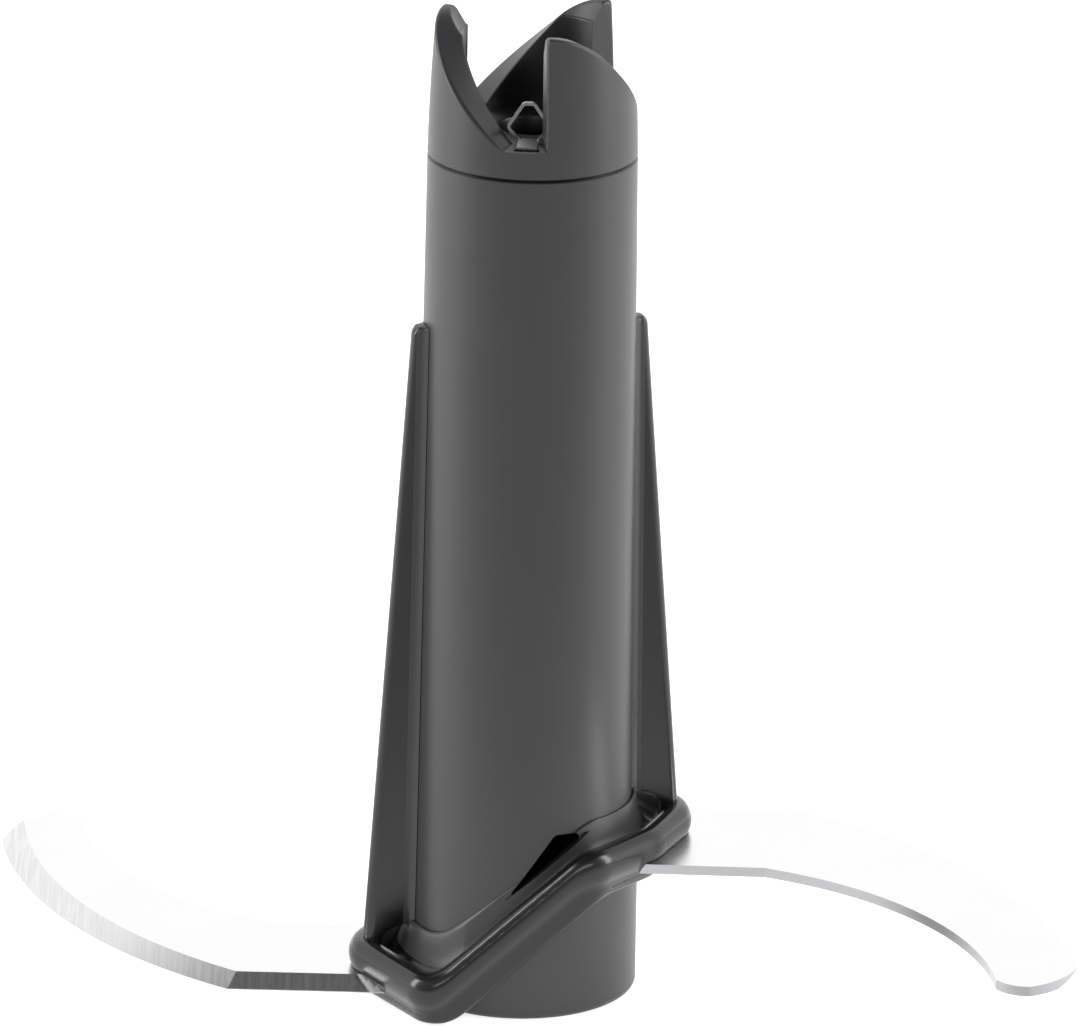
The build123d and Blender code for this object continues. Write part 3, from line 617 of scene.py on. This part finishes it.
for i, turn in enumerate(carrier_turns):
    cos, sin = math.cos(turn), math.sin(turn)
    tube = hub_r(rim_z(HUB_FOOT_R * cos)) + BORE_GAP
    room = crest_r[i] - tube
    scale = min(1.0, room / TROUGH_ROOM)
    section = [(tube, under_z(tube * cos) + 0.2), (tube, under_z(tube * cos) + 3.0)]
    for out, rise in SLEEVE_SIDE:
        r = tube + out * scale
        drop = rise if rise > 0 else rise * scale
        section.append((r, rim_z(r * cos) + drop))
    pocket = float(np.clip((abs(crest_r[i] * cos) - POCKET_START) / 2.0, 0, 1))
    floor_in, floor_out = tube + 2.5 * scale, crest_r[i] - 2.0 * scale
    for share in (0.15, 0.5, 0.85):
        r = floor_in + (floor_out - floor_in) * share
        section.append((r, rim_z(r * cos) - TROUGH_DEEP * scale - POCKET_DEEP * pocket))
    for back, rise in RIM_SIDE:
        r = crest_r[i] - back * scale
        section.append((r, rim_z(r * cos) + rise * (scale if rise < -0.6 else 1.0)))
    section += [(roll_r[k][i], rim_z(roll_r[k][i] * cos) + rise)
                for k, (_, rise) in enumerate(ROLL)]
    section += [(foot_r[k][i], under_z(foot_r[k][i] * cos) + rise)
                for k, (_, rise) in enumerate(BAND_FOOT)]
    section += [(tube + 0.8, under_z((tube + 0.8) * cos)), (tube + 0.2, under_z(tube * cos))]
    carrier_rows.append([(r * cos, r * sin, z) for r, z in section])
carrier = tidy_mesh(skin("blade_carrier_moulding", carrier_rows, wrap_rows=True), sharp_degrees=50)


def fin_rows(side):
    """Outlines of one fin from its foot to its top; side 0 is towards +X."""
    turn = math.radians(FIN_TURN + 180 * side)
    along = np.array([math.cos(turn), math.sin(turn), 0.0])
    aside = np.array([-math.sin(turn), math.cos(turn), 0.0])
    seat = CARRIER_LOW + CARRIER_TALL + (CARRIER_STEP if side == 0 else 0.0)
    foot = seat - FIN_SUNK
    heights = list(np.linspace(foot, seat, 5)) + [
        seat + ARCH_R * math.sin(math.radians(a)) for a in range(10, 91, 10)]
    shoulder = FIN_TOP_Z - FIN_TOP_ROUND
    heights += list(np.linspace(seat + ARCH_R + 0.1, shoulder, 40))
    heights += [shoulder + FIN_TOP_ROUND * math.sin(math.radians(a)) for a in range(15, 91, 15)]
    rows = []
    for z in heights:
        risen = (z - seat + TROUGH_DEEP) / (FIN_TOP_Z - seat + TROUGH_DEEP)
        reach = FIN_FOOT_R + (hub_r(FIN_TOP_Z) + FIN_TOP_REACH - FIN_FOOT_R) * risen
        near_top = max(0.0, (z - FIN_TOP_Z + FIN_TOP_ROUND) / FIN_TOP_ROUND)
        shrink = 1.0 - math.sqrt(max(0.0, 1.0 - near_top ** 2))
        reach -= FIN_TOP_SHRINK[0] * shrink
        half = FIN_HALF - FIN_TOP_SHRINK[1] * shrink
        above = max(0.0, z - seat) / ARCH_R
        start = hub_r(z) + BORE_GAP + 2 * ARCH_R * math.sqrt(max(0.0, 1 - above ** 2))
        start = max(start, hub_r(z) + BORE_GAP)
        flare = FIN_FLARE if above >= 1.0 else 0.0
        outline = []
        for share in (0.0, 0.25, 0.5, 0.75, 1.0):
            outline.append((start + 0.9 * share, half + flare * (1 - share) ** 2))
        bow = min(half, reach - start - 1.0)
        for step in range(0, 13):
            lean = math.radians(90 - 15 * step)
            outline.append((reach - bow + bow * math.cos(lean), half * math.sin(lean)))
        outline += [(d, -s) for d, s in reversed(outline[:5])]
        points = []
        for d, s in outline:
            if d - start < 0.01:
                d = math.sqrt(max(d * d - s * s, 0.0)) + 0.02
            points.append(along * d + aside * s + np.array([0, 0, z]))
        middle = along * (start + 0.02) + np.array([0, 0, z])
        points.append(middle)
        rows.append(points)
    return rows


for side in (0, 1):
    fin = tidy_mesh(skin("fin", fin_rows(side), cap=True), sharp_degrees=50)
    carve(carrier, fin, "UNION")
for facing in (-1, 1):
    loops = [[(x, facing * depth, z) for x, z in WINDOW] for depth in WINDOW_DEPTHS]
    window = tidy_mesh(skin("window", loops, cap=True))
    carve(carrier, window)
for name in ("lower_blade", "upper_blade"):
    strip = bpy.data.objects.new("strip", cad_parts[name].data.copy())
    bpy.context.scene.collection.objects.link(strip)
    carve(carrier, tidy_mesh(strip))
tidy_mesh(carrier, sharp_degrees=38)


def sleeve_zone(start, place):
    """1 on the sleeve that hugs the tube, which has the tube's satin grain, else 0."""
    height, radius = height_and_radius(start, place)
    return start.maths("LESS_THAN", radius + height * TAPER_SLOPE, SLEEVE_LIMIT_R * MM)


carrier_finish = moulded(
    "black_gloss", (0.008, 0.008, 0.009), 0.22, 0.08, sleeve_zone, (0.034, 0.035, 0.037), 0.16)
fit_piece(carrier, carrier_finish, "carrier_plastic", "blade_unit", "blade_carrier")


# ======================================================================================
# Studio: a seamless pale paper floor with a painted glow where the part stands (emission on the
# paper, no lamp), a white tent that is open above and dim in front, a strip softbox in front and
# two tall ones beside.
# ======================================================================================
FLOOR_R = 6.0
FLOOR_DIM_Y = (-0.15, -0.02)    # the painted glow of the paper fades out between these, towards the front
PAINTED_FLOOR_GLOW = 0.75
TENT_FRONT = (-0.95, 0.1, 0.22)     # dimmest and full directions, and the dimmest share
TENT_TOP = (0.62, 0.82, 0.12)       # full and open heights, and the share left above
TENT_GLOW = 1.28
floor_mesh = bpy.data.meshes.new("floor")
floor_turn = [2 * math.pi * i / 96 for i in range(96)]
floor_mesh.from_pydata(
    [(FLOOR_R * math.cos(a), FLOOR_R * math.sin(a), 0.0) for a in floor_turn], [],
    [list(range(96))])
floor = bpy.data.objects.new("floor", floor_mesh)
bpy.context.scene.collection.objects.link(floor)
floor_finish, floor_shader, paper, paper_place = new_finish(
    "paper_sweep", Roughness=0.9, Specular_IOR_Level=0.1)
pulp = paper.node("TexNoise", {}, {"Vector": paper_place, "Scale": 40.0, "Detail": 3.0})
paper_tint = paper.node("Mix", {"data_type": "RGBA"}, {
    0: pulp, 6: (0.85, 0.85, 0.85, 1.0), 7: (0.87, 0.87, 0.87, 1.0)}, 2)
paper_depth = paper.node("SeparateXYZ", {}, {0: paper_place}, "Y")
# Painted light: the paper glows where the part stands, which fills in its shadow, and the glow
# fades out towards the front.
painted_glow = paper.node("MapRange", {"interpolation_type": "SMOOTHSTEP"}, {
    "Value": paper_depth, "From Min": FLOOR_DIM_Y[0], "From Max": FLOOR_DIM_Y[1]})
for wire, socket in ((paper_tint, "Base Color"), (painted_glow, "Emission Color")):
    floor_finish.node_tree.links.new(wire.socket, floor_shader.inputs[socket])
floor_shader.inputs["Emission Strength"].default_value = PAINTED_FLOOR_GLOW
floor_mesh.materials.append(floor_finish)

world = bpy.data.worlds.new("studio")
world.use_nodes = True
sky = Wire(world.node_tree)
look = sky.node("TexCoord", {}, {}, "Generated")
level = sky.node("SeparateXYZ", {}, {0: look}, "Z")
ahead = sky.node("SeparateXYZ", {}, {0: look}, "Y")
front = sky.node("MapRange", {"interpolation_type": "SMOOTHSTEP"}, {
    "Value": ahead, "From Min": TENT_FRONT[0], "From Max": TENT_FRONT[1],
    "To Min": TENT_FRONT[2], "To Max": 1.0})
top = sky.node("MapRange", {"interpolation_type": "SMOOTHSTEP"}, {
    "Value": level, "From Min": TENT_TOP[0], "From Max": TENT_TOP[1],
    "To Min": 1.0, "To Max": TENT_TOP[2]})
glow = front * top * TENT_GLOW
world.node_tree.links.new(glow.socket, world.node_tree.nodes["Background"].inputs["Strength"])
world.node_tree.nodes["Background"].inputs["Color"].default_value = (1.0, 1.0, 1.0, 1.0)
bpy.context.scene.world = world


def softbox(name, size, place, aim, watts):
    """A flat soft lamp at place, turned towards aim."""
    lamp = bpy.data.lights.new(name, "AREA")
    lamp.shape = "RECTANGLE"
    lamp.size, lamp.size_y = size
    lamp.energy = watts
    holder = bpy.data.objects.new(name, lamp)
    bpy.context.scene.collection.objects.link(holder)
    holder.location = place
    holder.rotation_euler = (Vector(aim) - Vector(place)).to_track_quat("-Z", "Y").to_euler()
    return holder


softbox("front_strip", (1.2, 0.2), (0.1, -1.2, 0.5), (0, 0, 0.05), 3)
softbox("left_softbox", (0.35, 0.9), (-1.1, -0.1, 0.5), (0, 0, 0.07), 8)
softbox("right_softbox", (0.35, 0.9), (1.1, -0.1, 0.5), (0, 0, 0.07), 7)

# ======================================================================================
# Camera
# ======================================================================================
EYE = Vector((1.82, -1129.01, 443.12)) * MM
EYE_TILT = math.radians(18.4233)
EYE_ROLL = math.radians(-1.0102)
LENS = 294.648
forward = Vector((0, math.cos(EYE_TILT), -math.sin(EYE_TILT)))
right = Vector((1, 0, 0))
upward = right.cross(forward)
across = math.cos(EYE_ROLL) * right - math.sin(EYE_ROLL) * upward
above = math.sin(EYE_ROLL) * right + math.cos(EYE_ROLL) * upward
camera_data = bpy.data.cameras.new("camera")
camera_data.lens = LENS
camera_data.sensor_width = 36.0
camera_data.sensor_fit = "HORIZONTAL"
camera_data.clip_start = 0.01
camera_data.clip_end = 50.0
camera = bpy.data.objects.new("camera", camera_data)
bpy.context.scene.collection.objects.link(camera)
camera.matrix_world = Matrix((
    (across.x, above.x, -forward.x, EYE.x), (across.y, above.y, -forward.y, EYE.y),
    (across.z, above.z, -forward.z, EYE.z), (0, 0, 0, 1)))
bpy.context.scene.camera = camera
bpy.context.scene.view_settings.view_transform = "Standard"
